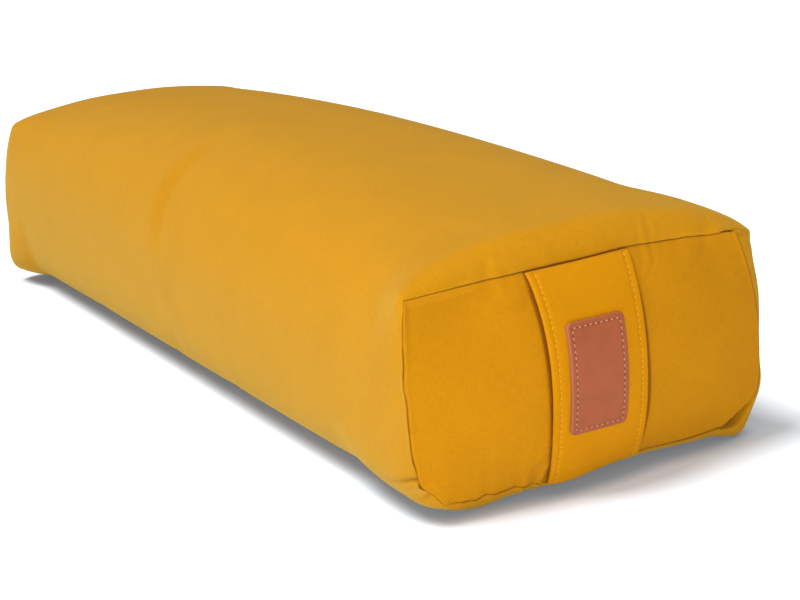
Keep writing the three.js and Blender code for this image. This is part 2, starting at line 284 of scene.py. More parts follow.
def wobbles(rows):
    """How far the strap end's seam waves to and fro where the sewing gathers it."""
    over = travelled(rows)[:-1]
    push = np.zeros_like(rows)
    for wobble in SEAM_WOBBLES:
        away = np.linalg.norm(rows - wobble["at"], axis=1) / wobble["spread"]
        turns = 2 * math.pi * over / wobble["pitch"]
        swing = np.sin(turns) + 0.6 * np.sin(1.7 * turns)
        push += (wobble["size"] * swing * np.exp(-away ** 4))[:, None] * outward(rows)
    return push


seam = seam_outline(TOP_LEFT, TOP_RIGHT, LOW_LEFT, LOW_RIGHT)
seam = seam + bends(seam)
seam_wobble = wobbles(seam)
seams = {1: seam + seam_wobble, -1: seam_outline(PLAIN_TOP, PLAIN_TOP, PLAIN_LOW, PLAIN_LOW)}
crown = crown_outline(sum(travelled(seam)[:-1] / travelled(seam)[-1] for seam in seams.values()) / 2)

SHOULDER = 12 * MM
RISES_ON_SHOULDER, SPREADS_ON_SHOULDER = 0.5, 0.33
RISE_POWER, SPREAD_POWER = 1.94, 3.8
SINKS_ON_SHOULDER, SINKS_OVER, SINKS_BELOW = 0.5, 26 * MM, 5 * MM


def listed_ears(rows):
    """Ears from rows of a place on the seam, and in millimetres the push there in y and z, its
    spread along the seam, its length along the wrap and its crest's distance from the seam."""
    return [
        {"at": at, "push": (aside * MM, up * MM), "spread": spread * MM, "length": length * MM,
         "crest": crest * MM}
        for at, (aside, up), spread, length, crest in rows
    ]


STRAP_END_EARS = listed_ears([
    ((TOP_RIGHT, SEAM_TOP), (14, -6.5), 17, 30, 5),
    ((95.5 * MM, 107 * MM), (-3.6, 0), 4.5, 30, 5),
    ((80 * MM, SEAM_TOP), (0, 3.2), 14, 65, 20),
    ((101 * MM, 78 * MM), (5.6, 0), 27, 30, 5),
    ((LOW_RIGHT, SEAM_LIFT), (4, -3), 30, 30, 5),
    ((95 * MM, 10 * MM), (0.4, -7.4), 15, 30, 5),
    ((107 * MM, 30 * MM), (2.6, 0), 10, 30, 5),
    ((-TOP_LEFT, SEAM_TOP), (-3, 0), 14, 30, 5),
    ((-LOW_LEFT, SEAM_LIFT), (-3.2, -5), 24, 80, 24),
    ((-66 * MM, SEAM_LIFT), (0, -3), 26, 25, 5),
])
PLAIN_END_EARS = listed_ears([
    ((PLAIN_TOP, SEAM_TOP), (2, 3.5), 24, 65, 5),
    ((-PLAIN_TOP, SEAM_TOP), (0.5, 4), 24, 65, 5),
    ((PLAIN_LOW, SEAM_LIFT), (3.5, -4), 26, 40, 5),
    ((-PLAIN_LOW, SEAM_LIFT), (-7, -4), 30, 45, 5),
])


def ear_push(rows, from_seam, ears):
    """How far the ears push the wrap out, for rows of a seam."""
    push = np.zeros_like(rows)
    for ear in ears:
        crest = ear["crest"]
        span = crest if from_seam < crest else ear["length"] - crest
        fullness = max(0, 1 - ((from_seam - crest) / span) ** 2)
        away = np.linalg.norm(rows - ear["at"], axis=1) / ear["spread"]
        push += fullness * np.exp(-away ** 2)[:, None] * np.array(ear["push"])
    return push


def wrap_ring(side, from_seam):
    """One ring of the wrap, at the end on this side (+1 or -1), as (x, y, z) rows."""
    seam = seams[side] - (seam_wobble * (1 - math.exp(-from_seam / WOBBLE_REACH)) if side > 0 else 0)
    inward = 1 - from_seam / SEAM_X
    shoulder = math.sqrt(1 - (1 - min(1, from_seam / SHOULDER)) ** 2)
    rise = RISES_ON_SHOULDER * shoulder + (1 - RISES_ON_SHOULDER) * (1 - inward ** RISE_POWER)
    spread = SPREADS_ON_SHOULDER * shoulder + (1 - SPREADS_ON_SHOULDER) * (1 - inward ** SPREAD_POWER)
    push = ear_push(seam, from_seam, STRAP_END_EARS if side > 0 else PLAIN_END_EARS)
    sink = SINKS_ON_SHOULDER * shoulder + (1 - SINKS_ON_SHOULDER) * min(1, from_seam / SINKS_OVER)
    below = np.clip((seam[:, 1] - crown[:, 1]) / SINKS_BELOW, 0, 1)
    y = seam[:, 0] + (crown[:, 0] - seam[:, 0]) * spread + push[:, 0]
    z = seam[:, 1] + (crown[:, 1] - seam[:, 1]) * (rise + (sink - rise) * below) + push[:, 1]
    x = np.full_like(y, side * (SEAM_X - from_seam))
    return np.stack([x, y, np.maximum(z, 0)], axis=1)


SHOULDER_TURNS = np.radians(np.concatenate([np.arange(0, 20, 2), np.arange(20, 90, 3.5)]))
RING_DISTANCES = np.concatenate([
    SHOULDER * (1 - np.cos(SHOULDER_TURNS)), np.arange(12, 40, 2) * MM, np.linspace(40, 325, 40) * MM,
])
SOFTENED = {
    1: [(-TOP_LEFT, 17 * MM, 22 * MM), (TOP_RIGHT, 4.5 * MM, 3 * MM)],
    -1: [(PLAIN_TOP, 5 * MM, 22 * MM), (-PLAIN_TOP, 7 * MM, 12 * MM)],
}
SOFTEN_WITHIN = 42 * MM


def soften(grid, side):
    """Round off the ridges that lead away from the seam's two upper corners."""
    seam = seams[side]
    lengths = travelled(seam)
    step = lengths[-1] / len(seam)
    waves = np.fft.rfftfreq(grid.shape[1])
    spectrum = np.fft.rfft(grid, axis=1)
    softened = grid.copy()
    for corner, blur, over in SOFTENED[side]:
        at = lengths[np.argmin(np.linalg.norm(seam - (corner, SEAM_TOP), axis=1))]
        near = np.exp(-((lengths[:-1] - at) / SOFTEN_WITHIN) ** 4)[:, None]
        for ring, distance in enumerate(RING_DISTANCES):
            spread = blur * (1 - math.exp(-distance / over)) / step
            kept = np.exp(-2 * (math.pi * waves * spread) ** 2)[:, None]
            smooth = np.fft.irfft(spectrum[ring] * kept, n=grid.shape[1], axis=0)
            softened[ring] += near * (smooth - grid[ring])
    return softened


near_half = soften(np.array([wrap_ring(1, distance) for distance in RING_DISTANCES]), 1)
far_half = soften(np.array([wrap_ring(-1, distance) for distance in RING_DISTANCES]), -1)


def directions(grid):
    """The cloth's outward direction at each point of the wrap's rings, from the plain end on."""
    around = np.roll(grid, -1, axis=1) - np.roll(grid, 1, axis=1)
    normal = np.cross(around, np.gradient(grid, axis=0))
    return normal / np.maximum(np.linalg.norm(normal, axis=2, keepdims=True), 1e-12)


SETTLE_COLUMNS, SETTLE_STEP = 4, 7 * MM
SETTLE_SMALLER, SETTLE_CAP, SETTLE_SHARE = 3 * MM, 3 * MM, 0.3
SETTLE_FRAMES, SETTLE_PASSES = 20, 30


def settle(grid):
    """Blow up a coarse copy of the wrap as cloth held at its seams and on the floor, and pass the
    unevenness that this gives on to the wrap."""
    over = np.cumsum(np.concatenate([[0], np.linalg.norm(np.diff(grid, axis=0), axis=2).mean(axis=1)]))
    wanted = np.linspace(0, over[-1], round(over[-1] / SETTLE_STEP))
    picked = np.unique(np.abs(over[:, None] - wanted).argmin(axis=0))
    coarse = grid[picked][:, ::SETTLE_COLUMNS]
    facing = directions(grid)[picked][:, ::SETTLE_COLUMNS]
    grounded = coarse[..., 2] < 0.7 * MM
    held = grounded.copy()
    held[0] = held[-1] = True
    start = np.where(held[..., None], coarse, coarse - SETTLE_SMALLER * facing)
    start[..., 2] = np.maximum(start[..., 2], 0)
    tips = [start[0].mean(axis=0), start[-1].mean(axis=0)]
    blank = np.zeros((len(start), start.shape[1] + 1, 2))
    filling = skin_mesh("filling", start, tips[0], tips[1], blank)
    pins = filling.vertex_groups.new(name="pins")
    pins.add([0, held.size + 1] + (1 + np.flatnonzero(held)).tolist(), 1, "REPLACE")
    cloth = filling.modifiers.new("cloth", "CLOTH")
    cloth.settings.vertex_group_mass = "pins"
    cloth.settings.tension_stiffness = 40
    cloth.settings.compression_stiffness = 20
    cloth.settings.shear_stiffness = 10
    cloth.settings.bending_stiffness = 6
    cloth.settings.tension_damping = 10
    cloth.settings.compression_damping = 10
    cloth.settings.use_pressure = True
    cloth.settings.uniform_pressure_force = 4
    cloth.settings.shrink_min = -0.0025
    cloth.settings.effector_weights.gravity = 0
    cloth.collision_settings.use_collision = False
    for frame_number in range(1, SETTLE_FRAMES + 1):
        bpy.context.scene.frame_set(frame_number)
    blown = filling.evaluated_get(bpy.context.evaluated_depsgraph_get()).data
    points = np.empty(3 * len(blown.vertices))
    blown.vertices.foreach_get("co", points)
    bpy.context.scene.frame_set(1)
    bpy.data.objects.remove(filling)
    moved = ((points.reshape(-1, 3)[1:-1].reshape(coarse.shape) - coarse) * facing).sum(axis=2)
    smooth_moved = moved
    for _ in range(SETTLE_PASSES):
        wide = np.pad(smooth_moved, ((1, 1), (0, 0)), mode="edge")
        wide = (wide[:-2] + 2 * wide[1:-1] + wide[2:]) / 4
        smooth_moved = (np.roll(wide, 1, axis=1) + 2 * wide + np.roll(wide, -1, axis=1)) / 4
    moved = SETTLE_SHARE * (moved - smooth_moved)
    moved = np.where(held, 0, SETTLE_CAP * np.tanh(moved / SETTLE_CAP))
    along_rows = np.array([np.interp(over, over[picked], column) for column in moved.T]).T
    columns = np.arange(grid.shape[1]) / SETTLE_COLUMNS
    closed = np.concatenate([along_rows, along_rows[:, :1]], axis=1)
    fine = np.array([np.interp(columns, np.arange(closed.shape[1]), row) for row in closed])
    for _ in range(3):
        fine = (np.roll(fine, 1, axis=1) + 2 * fine + np.roll(fine, -1, axis=1)) / 4
    settled = grid + fine[..., None] * directions(grid)
    settled[..., 2] = np.maximum(settled[..., 2], 0)
    return settled


SEAM_ROLL, SEAM_SLOT, ROLL_FADE = 0.7 * MM, 0.1 * MM, 30 * MM


def listed_puckers(rows):
    """Puckers from rows of a place on the seam, then their width, length and depth in
    millimetres, and how far they slant for each step away from the seam."""
    return [
        {"at": at, "width": width * MM, "length": length * MM, "depth": depth * MM, "drift": drift}
        for at, width, length, depth, drift in rows
    ]


PUCKERS = listed_puckers([
    ((-56 * MM, SEAM_TOP), 5, 13, 0.8, 0),
    ((-49 * MM, SEAM_TOP), 2.5, 9, -0.35, 0),
    ((-16 * MM, SEAM_TOP), 4, 10, 0.45, 0),
    ((33 * MM, SEAM_TOP), 1.9, 10, 0.5, 0),
    ((36.5 * MM, SEAM_TOP), 1.7, 12, -0.45, 0),
    ((40 * MM, SEAM_TOP), 1.9, 12, 0.65, 0),
    ((58 * MM, SEAM_TOP), 3.5, 9, 0.4, 0),
    ((74 * MM, SEAM_TOP), 3.0, 12, 0.7, 0),
    ((81 * MM, SEAM_TOP), 3.0, 12, -0.4, 0),
    ((-37 * MM, SEAM_LIFT), 1.8, 12, 1.3, 0),
    ((-34 * MM, SEAM_LIFT), 1.5, 12, -1.1, 0),
    ((-31 * MM, SEAM_LIFT), 1.5, 12, 1.6, 0),
    ((-42 * MM, SEAM_LIFT), 2.2, 11, -0.5, 0),
    ((-83 * MM, SEAM_LIFT), 3.6, 9, 1.0, 0),
])
FOLDS = listed_puckers([
    ((-101 * MM, 26 * MM), 1.0, 15, 1.5, 0.25),
    ((-101 * MM, 22 * MM), 2.5, 14, -0.9, 0.25),
    ((-96 * MM, 16 * MM), 1.0, 5, 1.2, 0.3),
    ((92 * MM, SEAM_TOP), 1.1, 4, 1.8, -0.5),
    ((88 * MM, SEAM_TOP), 3.5, 1.6, 2.0, 0),
    ((84 * MM, SEAM_TOP), 3.0, 9, -0.5, 0),
    ((96 * MM, 112.5 * MM), 0.9, 5, 0.9, 0),
])
FOLD_SHADE = 0.6
LOOSE_PUCKERS, PUCKER_SEED = 46, 11
CREASE_WIDTH, DARKER_SIDE, DARKER_WIDTH = 0.45 * MM, (1, -1), 1.5
THIN_SHADE = 0.55


def seam_shade(side, over):
    """How dark the shade painted into the crease of a seam is, at distances from it. To the right
    and below, where the light is poor, the painted shade is wider and darker."""
    turned = np.clip(outward(seams[side]) @ np.array(DARKER_SIDE), 0, 1) ** 2
    shade = THIN_SHADE + (1 - THIN_SHADE) * turned
    return shade * np.exp(-(over / (CREASE_WIDTH * (1 + DARKER_WIDTH * turned))) ** 2)


def puckering(side, over):
    """How far puckers sink the cloth beside a seam, for distances from it over the cloth."""
    lengths = travelled(seams[side])
    draw = np.random.default_rng(PUCKER_SEED + side)
    puckers = [
        {"from_start": draw.uniform(0, lengths[-1]), "width": draw.uniform(2.2, 5) * MM,
         "length": draw.uniform(5, 13) * MM, "depth": draw.uniform(-0.32, 0.4) * MM}
        for _ in range(LOOSE_PUCKERS)
    ]
    return sum(
        sunken(side, over, pucker, pucker["from_start"]) for pucker in puckers
    ) + (named(side, over, PUCKERS) if side > 0 else 0)


def named(side, over, places):
    """How far the cloth sinks in the puckers or folds of a list that names their places."""
    seam = seams[side]
    lengths = travelled(seam)
    sunk = np.zeros_like(over)
    for place in places:
        start = lengths[np.argmin(np.linalg.norm(seam - place["at"], axis=1))]
        sunk += sunken(side, over, place, start)
    return sunk


def sunken(side, over, pucker, start):
    """How far one pucker, which begins at a distance along the seam, sinks the cloth."""
    lengths = travelled(seams[side])
    aside = np.abs(lengths[:-1] - start - pucker.get("drift", 0) * over)
    aside = np.minimum(aside, lengths[-1] - aside) / pucker["width"]
    return pucker["depth"] * np.exp(-aside ** 2) * np.exp(-over / pucker["length"])


POCKET_FROM, POCKET_TO = np.array((108.5, 24.5)) * MM, np.array((77.5, 8.5)) * MM
POCKET_DEPTH, POCKET_EDGE = 8 * MM, 1.6 * MM
POCKET_RIM, POCKET_SHADE = 1.5 * MM, 2.5 * MM


def pocket(rows):
    """How far the strap end's lower right corner sinks behind a slanting fold, from 0 to 1."""
    along = (POCKET_TO - POCKET_FROM) / np.linalg.norm(POCKET_TO - POCKET_FROM)
    beyond = (rows - POCKET_FROM) @ np.array((-along[1], along[0]))
    share = np.clip(beyond / POCKET_EDGE, 0, 1)
    return share * share * (3 - 2 * share)


def climbed(grid):
    """The distance from the seam over the cloth, at each point of a half of the wrap."""
    steps = np.linalg.norm(np.diff(grid, axis=0), axis=2)
    return np.concatenate([np.zeros((1, grid.shape[1])), np.cumsum(steps, axis=0)])


def sew(grid, side):
    """Roll the wrap's edge down into the seam, and give each column's facing beyond the roll."""
    facing = directions(grid) * -side
    over = climbed(grid)
    beyond = np.argmax(over > 2.5 * SEAM_ROLL, axis=0)
    settled = facing[beyond, np.arange(grid.shape[1])]
    into = 1 - np.minimum(over / SEAM_ROLL, 1)
    roll = SEAM_ROLL * (1 - np.sqrt(1 - into ** 2))
    endwise = np.abs(settled[:, 0])
    shift = SEAM_ROLL * (1 - endwise) * np.maximum(0, 1 - over / ROLL_FADE)
    sewn = grid - roll[..., None] * settled
    sewn[..., 0] -= side * (shift + SEAM_SLOT)
    sewn -= puckering(side, over)[..., None] * facing
    if side > 0:
        sewn -= named(side, over, FOLDS)[..., None] * facing
        sewn[..., 0] -= POCKET_DEPTH * pocket(seams[1]) * np.exp(-(over / POCKET_RIM) ** 2)
    sewn[..., 2] = np.maximum(sewn[..., 2], 0)
    return sewn, endwise


UNDER_SHARES = (0.15, 0.4, 0.7, 0.9, 0.985)
UNDER_SEAT = 4 * MM


def under_panel(side, endwise):
    """Rings of the wrap beneath a panel, from its middle out to the seam."""
    seam = seams[side]
    inset = SEAM_ROLL * (1 - endwise)[:, None] * outward(seam)
    rim = seam - inset
    rings = []
    for share in UNDER_SHARES:
        y = share * rim[:, 0]
        z = SEAM_MIDDLE + share * (rim[:, 1] - SEAM_MIDDLE)
        rings.append(np.stack([np.full_like(y, side * (SEAM_X - UNDER_SEAT)), y, z], axis=1))
    return np.array(rings)


def skin_mesh(name, rings, first, last, weave):
    """A closed mesh through a stack of rings, closed by a point at each end. weave holds the flat
    cloth's own two coordinates at each point of the rings, and once more at each ring's start."""
    count = rings.shape[1]
    points = np.vstack([[first], rings.reshape(-1, 3), [last]])
    k = np.arange(count)
    after = (k + 1) % count
    start = 1 + (len(rings) - 1) * count
    fan = np.stack([np.zeros(count, int), 1 + after, 1 + k], axis=1)
    end_fan = np.stack([np.full(count, len(points) - 1), start + k, start + after], axis=1)
    quads = []
    threads = []
    for ring in range(len(rings) - 1):
        a = 1 + ring * count
        b = a + count
        quads.append(np.stack([a + k, a + after, b + after, b + k], axis=1))
        low, high = weave[ring], weave[ring + 1]
        threads.append(np.stack([low[:-1], low[1:], high[1:], high[:-1]], axis=1))
    fan_weave = np.stack([weave[0][:-1] * 0.98, weave[0][1:], weave[0][:-1]], axis=1)
    end_weave = np.stack([weave[-1][:-1] * 0.98, weave[-1][:-1], weave[-1][1:]], axis=1)
    faces = fan.tolist() + np.concatenate(quads).tolist() + end_fan.tolist()
    mesh = bpy.data.meshes.new(name)
    mesh.from_pydata(points.tolist(), [], faces)
    flat_weave = np.concatenate([
        fan_weave.reshape(-1, 2), np.concatenate(threads).reshape(-1, 2), end_weave.reshape(-1, 2),
    ])
    layer = mesh.attributes.new("weave", "FLOAT_VECTOR", "CORNER")
    layer.data.foreach_set("vector", np.pad(flat_weave, ((0, 0), (0, 1))).ravel())
    mesh.polygons.foreach_set("use_smooth", [True] * len(mesh.polygons))
    mesh.set_sharp_from_angle(angle=math.radians(65))
    mesh.update()
    return add_object(name, mesh)


def mark(piece, name, values):
    """Keep a number for each point of a skin's rings as an attribute that its material reads."""
    layer = piece.data.attributes.new(name, "FLOAT", "POINT")
    layer.data.foreach_set("value", np.concatenate([[0], np.ravel(values), [0]]))


SLUB_WIDTH, SLUB_LENGTH = 0.7 * MM, 5 * MM
# Shade in the cloth's creases is painted into its colour: the crease attribute mixes it towards this dark
# brown.
CREASE_SHADE, CREASE_SHADE_COLOUR = 0.85, (0.13, 0.026, 0.0005, 1)
MOTTLE_SIZE = 30 * MM
TWILL_PITCH = 0.9 * MM


def cotton(name, colour, sheen=0.15, slubs=0.055, mottle=0.035):
    """Fine cotton twill: slubs along both threads, faint mottling, a diagonal rib, and shade painted into
    its creases.
    """
    material = bpy.data.materials.new(name)
    material.use_nodes = True
    shader = material.node_tree.nodes["Principled BSDF"]
    threads = shader_node(material, "ShaderNodeAttribute", attribute_name="weave").outputs["Vector"]
    shades = []
    for stretch, depth in [
        ((1 / SLUB_WIDTH, 1 / SLUB_LENGTH, 1), slubs),
        ((1 / SLUB_LENGTH, 1 / SLUB_WIDTH, 1), slubs),
        ((1 / MOTTLE_SIZE, 1 / MOTTLE_SIZE, 1), mottle),
    ]:
        spread = shader_node(
            material, "ShaderNodeVectorMath", {0: threads, 1: stretch}, operation="MULTIPLY"
        ).outputs["Vector"]
        noise = shader_node(
            material, "ShaderNodeTexNoise", {"Vector": spread, "Scale": 1, "Detail": 2}
        ).outputs["Fac"]
        shades.append(shader_node(material, "ShaderNodeMapRange", {
            "Value": noise, "From Min": 0.25, "From Max": 0.75, "To Min": 1 - depth, "To Max": 1 + depth,
        }).outputs["Result"])
    product = shades[0]
    for shade in shades[1:]:
        product = shader_node(
            material, "ShaderNodeMath", {0: product, 1: shade}, operation="MULTIPLY"
        ).outputs["Value"]
    # Painted shade: where the crease attribute is set, the colour is mixed towards a dark brown.
    crease = shader_node(material, "ShaderNodeAttribute", attribute_name="crease").outputs["Fac"]
    tone = shader_node(
        material, "ShaderNodeHueSaturation", {"Value": product, "Color": (*colour, 1)}
    ).outputs["Color"]
    painted_crease_shade = shader_node(
        material, "ShaderNodeMath", {0: crease, 1: CREASE_SHADE}, operation="MULTIPLY"
    ).outputs["Value"]
    tone = shader_node(
        material, "ShaderNodeMixRGB", {"Fac": painted_crease_shade, "Color1": tone, "Color2": CREASE_SHADE_COLOUR}
    ).outputs["Color"]
    material.node_tree.links.new(tone, shader.inputs["Base Color"])
    rib = shader_node(material, "ShaderNodeTexWave", {
        "Vector": threads, "Scale": 0.314 / TWILL_PITCH, "Distortion": 1.5, "Detail": 2,
    }, bands_direction="DIAGONAL").outputs["Fac"]
    relief = shader_node(
        material, "ShaderNodeMath", {0: rib, 1: product}, operation="MULTIPLY"
    ).outputs["Value"]
    bump = shader_node(
        material, "ShaderNodeBump", {"Height": relief, "Strength": 0.15, "Distance": 0.12 * MM}
    ).outputs["Normal"]
    material.node_tree.links.new(bump, shader.inputs["Normal"])
    shader.inputs["Roughness"].default_value = 0.85
    shader.inputs["Specular IOR Level"].default_value = 0.05
    shader.inputs["Sheen Weight"].default_value = sheen
    shader.inputs["Sheen Roughness"].default_value = 0.5
    shader.inputs["Sheen Tint"].default_value = (0.85, 1, 0.3, 1)
    return material


wrap_rings = np.concatenate([far_half, near_half[:-1][::-1]])
wrap_rings = settle(wrap_rings)
far_half = wrap_rings[:len(far_half)]
near_half = wrap_rings[len(far_half) - 1:][::-1]
near_half, near_endwise = sew(near_half, 1)
far_half, far_endwise = sew(far_half, -1)
near_over, far_over = climbed(near_half), climbed(far_half)
# Shade painted into the wrap's colour, along its seams, in its folds and in the pocket's hollow.
near_painted_shade = seam_shade(1, near_over)
near_painted_shade += FOLD_SHADE * np.clip(named(1, near_over, FOLDS) / MM, 0, 1)
near_painted_shade += pocket(seams[1]) * np.exp(-(near_over / POCKET_SHADE) ** 2)
near_painted_shade = np.minimum(near_painted_shade, 1)
far_painted_shade = seam_shade(-1, far_over)
rings = np.concatenate([
    under_panel(-1, far_endwise), far_half, near_half[:-1][::-1], under_panel(1, near_endwise)[::-1],
])

COVER_COLOUR = (0.39, 0.165, 0.002)
around = travelled(seams[1])
along = np.cumsum(np.concatenate([[0], np.linalg.norm(np.diff(rings, axis=0), axis=2).mean(axis=1)]))
wrap_weave = np.stack(np.meshgrid(around, along), axis=2)
wrap_tip = Vector((SEAM_X - UNDER_SEAT, 0, SEAM_MIDDLE))
wrap = skin_mesh("wrap", rings, wrap_tip * Vector((-1, 1, 1)), wrap_tip, wrap_weave)
# Beneath the panels, where nothing shows, the wrap is painted fully shaded.
hidden = np.ones((len(UNDER_SHARES), rings.shape[1]))
mark(wrap, "crease", np.concatenate([hidden, far_painted_shade, near_painted_shade[:-1][::-1], hidden]))
wrap.data.materials.append(cotton("wrap_cotton", COVER_COLOUR))
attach(wrap, "root")
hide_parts("filled_body")

# Each end panel is a piece of the same cotton, cut to the end's outline and sewn edge to edge
# with the wrap. The filling domes it outward, and its seam allowance lifts a thin lip round it.
PANEL_THICKNESS = 1.5 * MM
# The panels are the wrap's cotton, painted a shade deeper and more orange to stand in for the shade on the
# end faces.
PANEL_SHADED_COLOUR = (0.385, 0.155, 0.0015)
PANEL_DOMES = {1: 14 * MM, -1: 9.5 * MM}
PANEL_ROUNDNESS = 0.85
PANEL_RINGS = 96
PANEL_PUCKERED = 0.9
LIP_HEIGHT, LIP_AT, LIP_WIDTH = 0.25 * MM, 1.2 * MM, 0.7 * MM
DENTS = [
    {"at": (-78 * MM, 106 * MM), "spread": 24 * MM, "depth": 3.2 * MM},
    {"at": (80 * MM, 104 * MM), "spread": 15 * MM, "depth": 0.9 * MM},
    {"at": (-36 * MM, 104 * MM), "spread": 7 * MM, "depth": 1.0 * MM},
    {"at": (27 * MM, 100 * MM), "spread": 8 * MM, "depth": 1.0 * MM},
    {"at": (-88 * MM, 22 * MM), "spread": 14 * MM, "depth": -0.8 * MM},
]
DENT_RIM = 4 * MM
EDGE_RINGS = np.array([0, 0.1, 0.25, 0.45, 0.65, 0.8, 1.1, 1.5, 2, 2.6, 3.3, 4.2, 5.3, 6.6, 8]) * MM


def seam_reach(seam):
    """How far the seam reaches from the panel's middle: right, left, up and down, as lookups."""
    lift = seam[:, 1] - SEAM_MIDDLE
    right = seam[:, 0] > 0
    low_half = lift < 0
    reaches = {}
    for name, wanted, by, reach in [
        ("right", right, lift, seam[:, 0]), ("left", ~right, lift, -seam[:, 0]),
        ("up", ~low_half, seam[:, 0], lift), ("down", low_half, seam[:, 0], -lift),
    ]:
        keys, values = by[wanted], reach[wanted]
        order = np.argsort(keys)
        reaches[name] = (keys[order], values[order])
    return reaches


def dome(rows, side):
    """How far the filling pushes a panel out, nothing at its seam and most at its middle."""
    reaches = seam_reach(seams[side])
    y, lift = rows[:, 0], rows[:, 1] - SEAM_MIDDLE
    across = np.where(y > 0, y / np.interp(lift, *reaches["right"]), -y / np.interp(lift, *reaches["left"]))
    upright = np.where(
        lift > 0, lift / np.interp(y, *reaches["up"]), -lift / np.interp(y, *reaches["down"])
    )
    fullness = (1 - np.clip(across, 0, 1) ** 2) * (1 - np.clip(upright, 0, 1) ** 2)
    return PANEL_DOMES[side] * fullness ** PANEL_ROUNDNESS


def panel_rings(side, endwise):
    """A panel's outer face as rings from its rim to near its middle."""
    seam = seams[side]
    normal = outward(seam)
    rim = seam - (SEAM_ROLL * (1 - endwise) + SEAM_SLOT)[:, None] * normal
    lip_share = np.clip(0.25 + 0.75 * np.abs(normal[:, 0]) ** 3, 0, 1)
    stack = []
    for distance in EDGE_RINGS:
        drop = SEAM_ROLL * (1 - math.sqrt(1 - (1 - min(distance / SEAM_ROLL, 1)) ** 2))
        lip = LIP_HEIGHT * lip_share * math.exp(-((distance - LIP_AT) / LIP_WIDTH) ** 2)
        stack.append((rim - distance * normal, lip - drop))
    inner = stack[-1][0]
    middle = np.array([0, SEAM_MIDDLE])
    for share in np.linspace(1, 0.02, PANEL_RINGS)[1:]:
        stack.append((middle + share * (inner - middle), 0))
    rings = []
    for rows, lift in stack:
        out = dome(rows, side) + lift
        over = np.linalg.norm(rows - rim, axis=1)
        out = out - PANEL_PUCKERED * puckering(side, over)
        if side > 0:
            out = out - POCKET_DEPTH * pocket(rows)
            for dent in DENTS:
                away = np.linalg.norm(rows - dent["at"], axis=1) / dent["spread"]
                out -= dent["depth"] * np.exp(-away ** 2) * np.minimum(over / DENT_RIM, 1)
        rings.append(np.stack([side * (SEAM_X + out), rows[:, 0], rows[:, 1]], axis=1))
    return np.array(rings)


for name, node, side, endwise in [
    ("strap_end_panel", "end_panel_handle", 1, near_endwise),
    ("plain_end_panel", "end_panel_plain", -1, far_endwise),
]:
    face = panel_rings(side, endwise)
    back = face.copy()
    back[..., 0] -= side * PANEL_THICKNESS
    stack = np.concatenate([back[::-1][::3], face])
    top = Vector((side * (SEAM_X + PANEL_DOMES[side]), 0, SEAM_MIDDLE))
    under = top - Vector((side * PANEL_THICKNESS, 0, 0))
    if side < 0:
        stack, top, under = stack[::-1], under, top
    weave = np.concatenate([stack, stack[:, :1]], axis=1)[..., 1:]
    panel = skin_mesh(name, stack, under, top, weave)
    # Shade painted into the panel's colour along its seam and in the pocket's hollow; its back, where
    # nothing shows, is painted fully shaded.
    face_painted_shade = seam_shade(side, climbed(face))
    if side > 0:
        face_painted_shade = np.maximum(face_painted_shade, pocket(face[..., 1:]))
    crease = np.concatenate([np.ones((len(stack) - len(face), len(stack[0]))), face_painted_shade])
    mark(panel, "crease", crease if side > 0 else crease[::-1])
    panel.data.materials.append(cotton(name, PANEL_SHADED_COLOUR, sheen=0.06))
    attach(panel, "root")
    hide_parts(node)

# The carrying strap is a band of stronger, smoother cotton, its long edges folded in and sewn
# with yellow thread. Both its ends are caught in the panel's seam, and it bows off the panel.
STRAP_TOP_WIDTH, STRAP_WIDTH, STRAP_FOOT_WIDTH = 60.6 * MM, 56.4 * MM, 54.8 * MM
STRAP_THICKNESS = 2.6 * MM
STRAP_MIDDLE, STRAP_SLANT = -4.0 * MM, 1.4 * MM
STRAP_BOW, STRAP_ROUNDNESS, STRAP_LIFTED = 15 * MM, 0.85, 0.08
STRAP_SEAT = 0.6 * MM
STRAP_HALF = (SEAM_HEIGHT + SEAM_ARCH) / 2
STRAP_CENTRE = SEAM_LIFT + STRAP_HALF
STRAP_STEPS = 140
FOLD_RADIUS = 1.2 * MM
STITCH_INSET, STITCH_PITCH, STITCH_LENGTH = 4.0 * MM, 3.0 * MM, 2.0 * MM
THREAD_RADIUS = 0.24 * MM
THREAD_SEED = 5
VALLEY_DEPTH, VALLEY_WIDTH = 0.35 * MM, 0.9 * MM
STRAP_COLOUR = (0.42, 0.164, 0.0005)
STRAP_THREAD = (0.56, 0.28, 0.006)
EDGE_CURL = 1.0 * MM
STRAP_TUCK = 0.4 * MM


def strap_line(share):
    """The strap's inner face at a height share from -1 to 1: its (x, z) and outward direction."""
    def bow(t):
        t = min(1, max(-1, t))
        t -= STRAP_LIFTED * (1 - t * t)
        return STRAP_BOW * (1 - t * t) ** STRAP_ROUNDNESS
    step = 0.01
    slope = (bow(share + step) - bow(share - step)) / (2 * step * STRAP_HALF)
    point = np.array([SEAM_X + STRAP_SEAT + bow(share), STRAP_CENTRE + share * STRAP_HALF])
    facing = np.array([1, -slope * (1 - share ** 8)])
    return point, facing / np.linalg.norm(facing)


def toward_foot(share):
    """How far the strap has narrowed towards its foot, from 0 to 1."""
    t = min(1, max(0, (-share - 0.35) / 0.65))
    return t * t * (3 - 2 * t)


def strap_width(share):
    """The strap's width at a height share from -1 to 1."""
    wider = (STRAP_TOP_WIDTH - STRAP_WIDTH) * max(0, share) ** 2
    return STRAP_WIDTH + wider + (STRAP_FOOT_WIDTH - STRAP_WIDTH) * toward_foot(share)


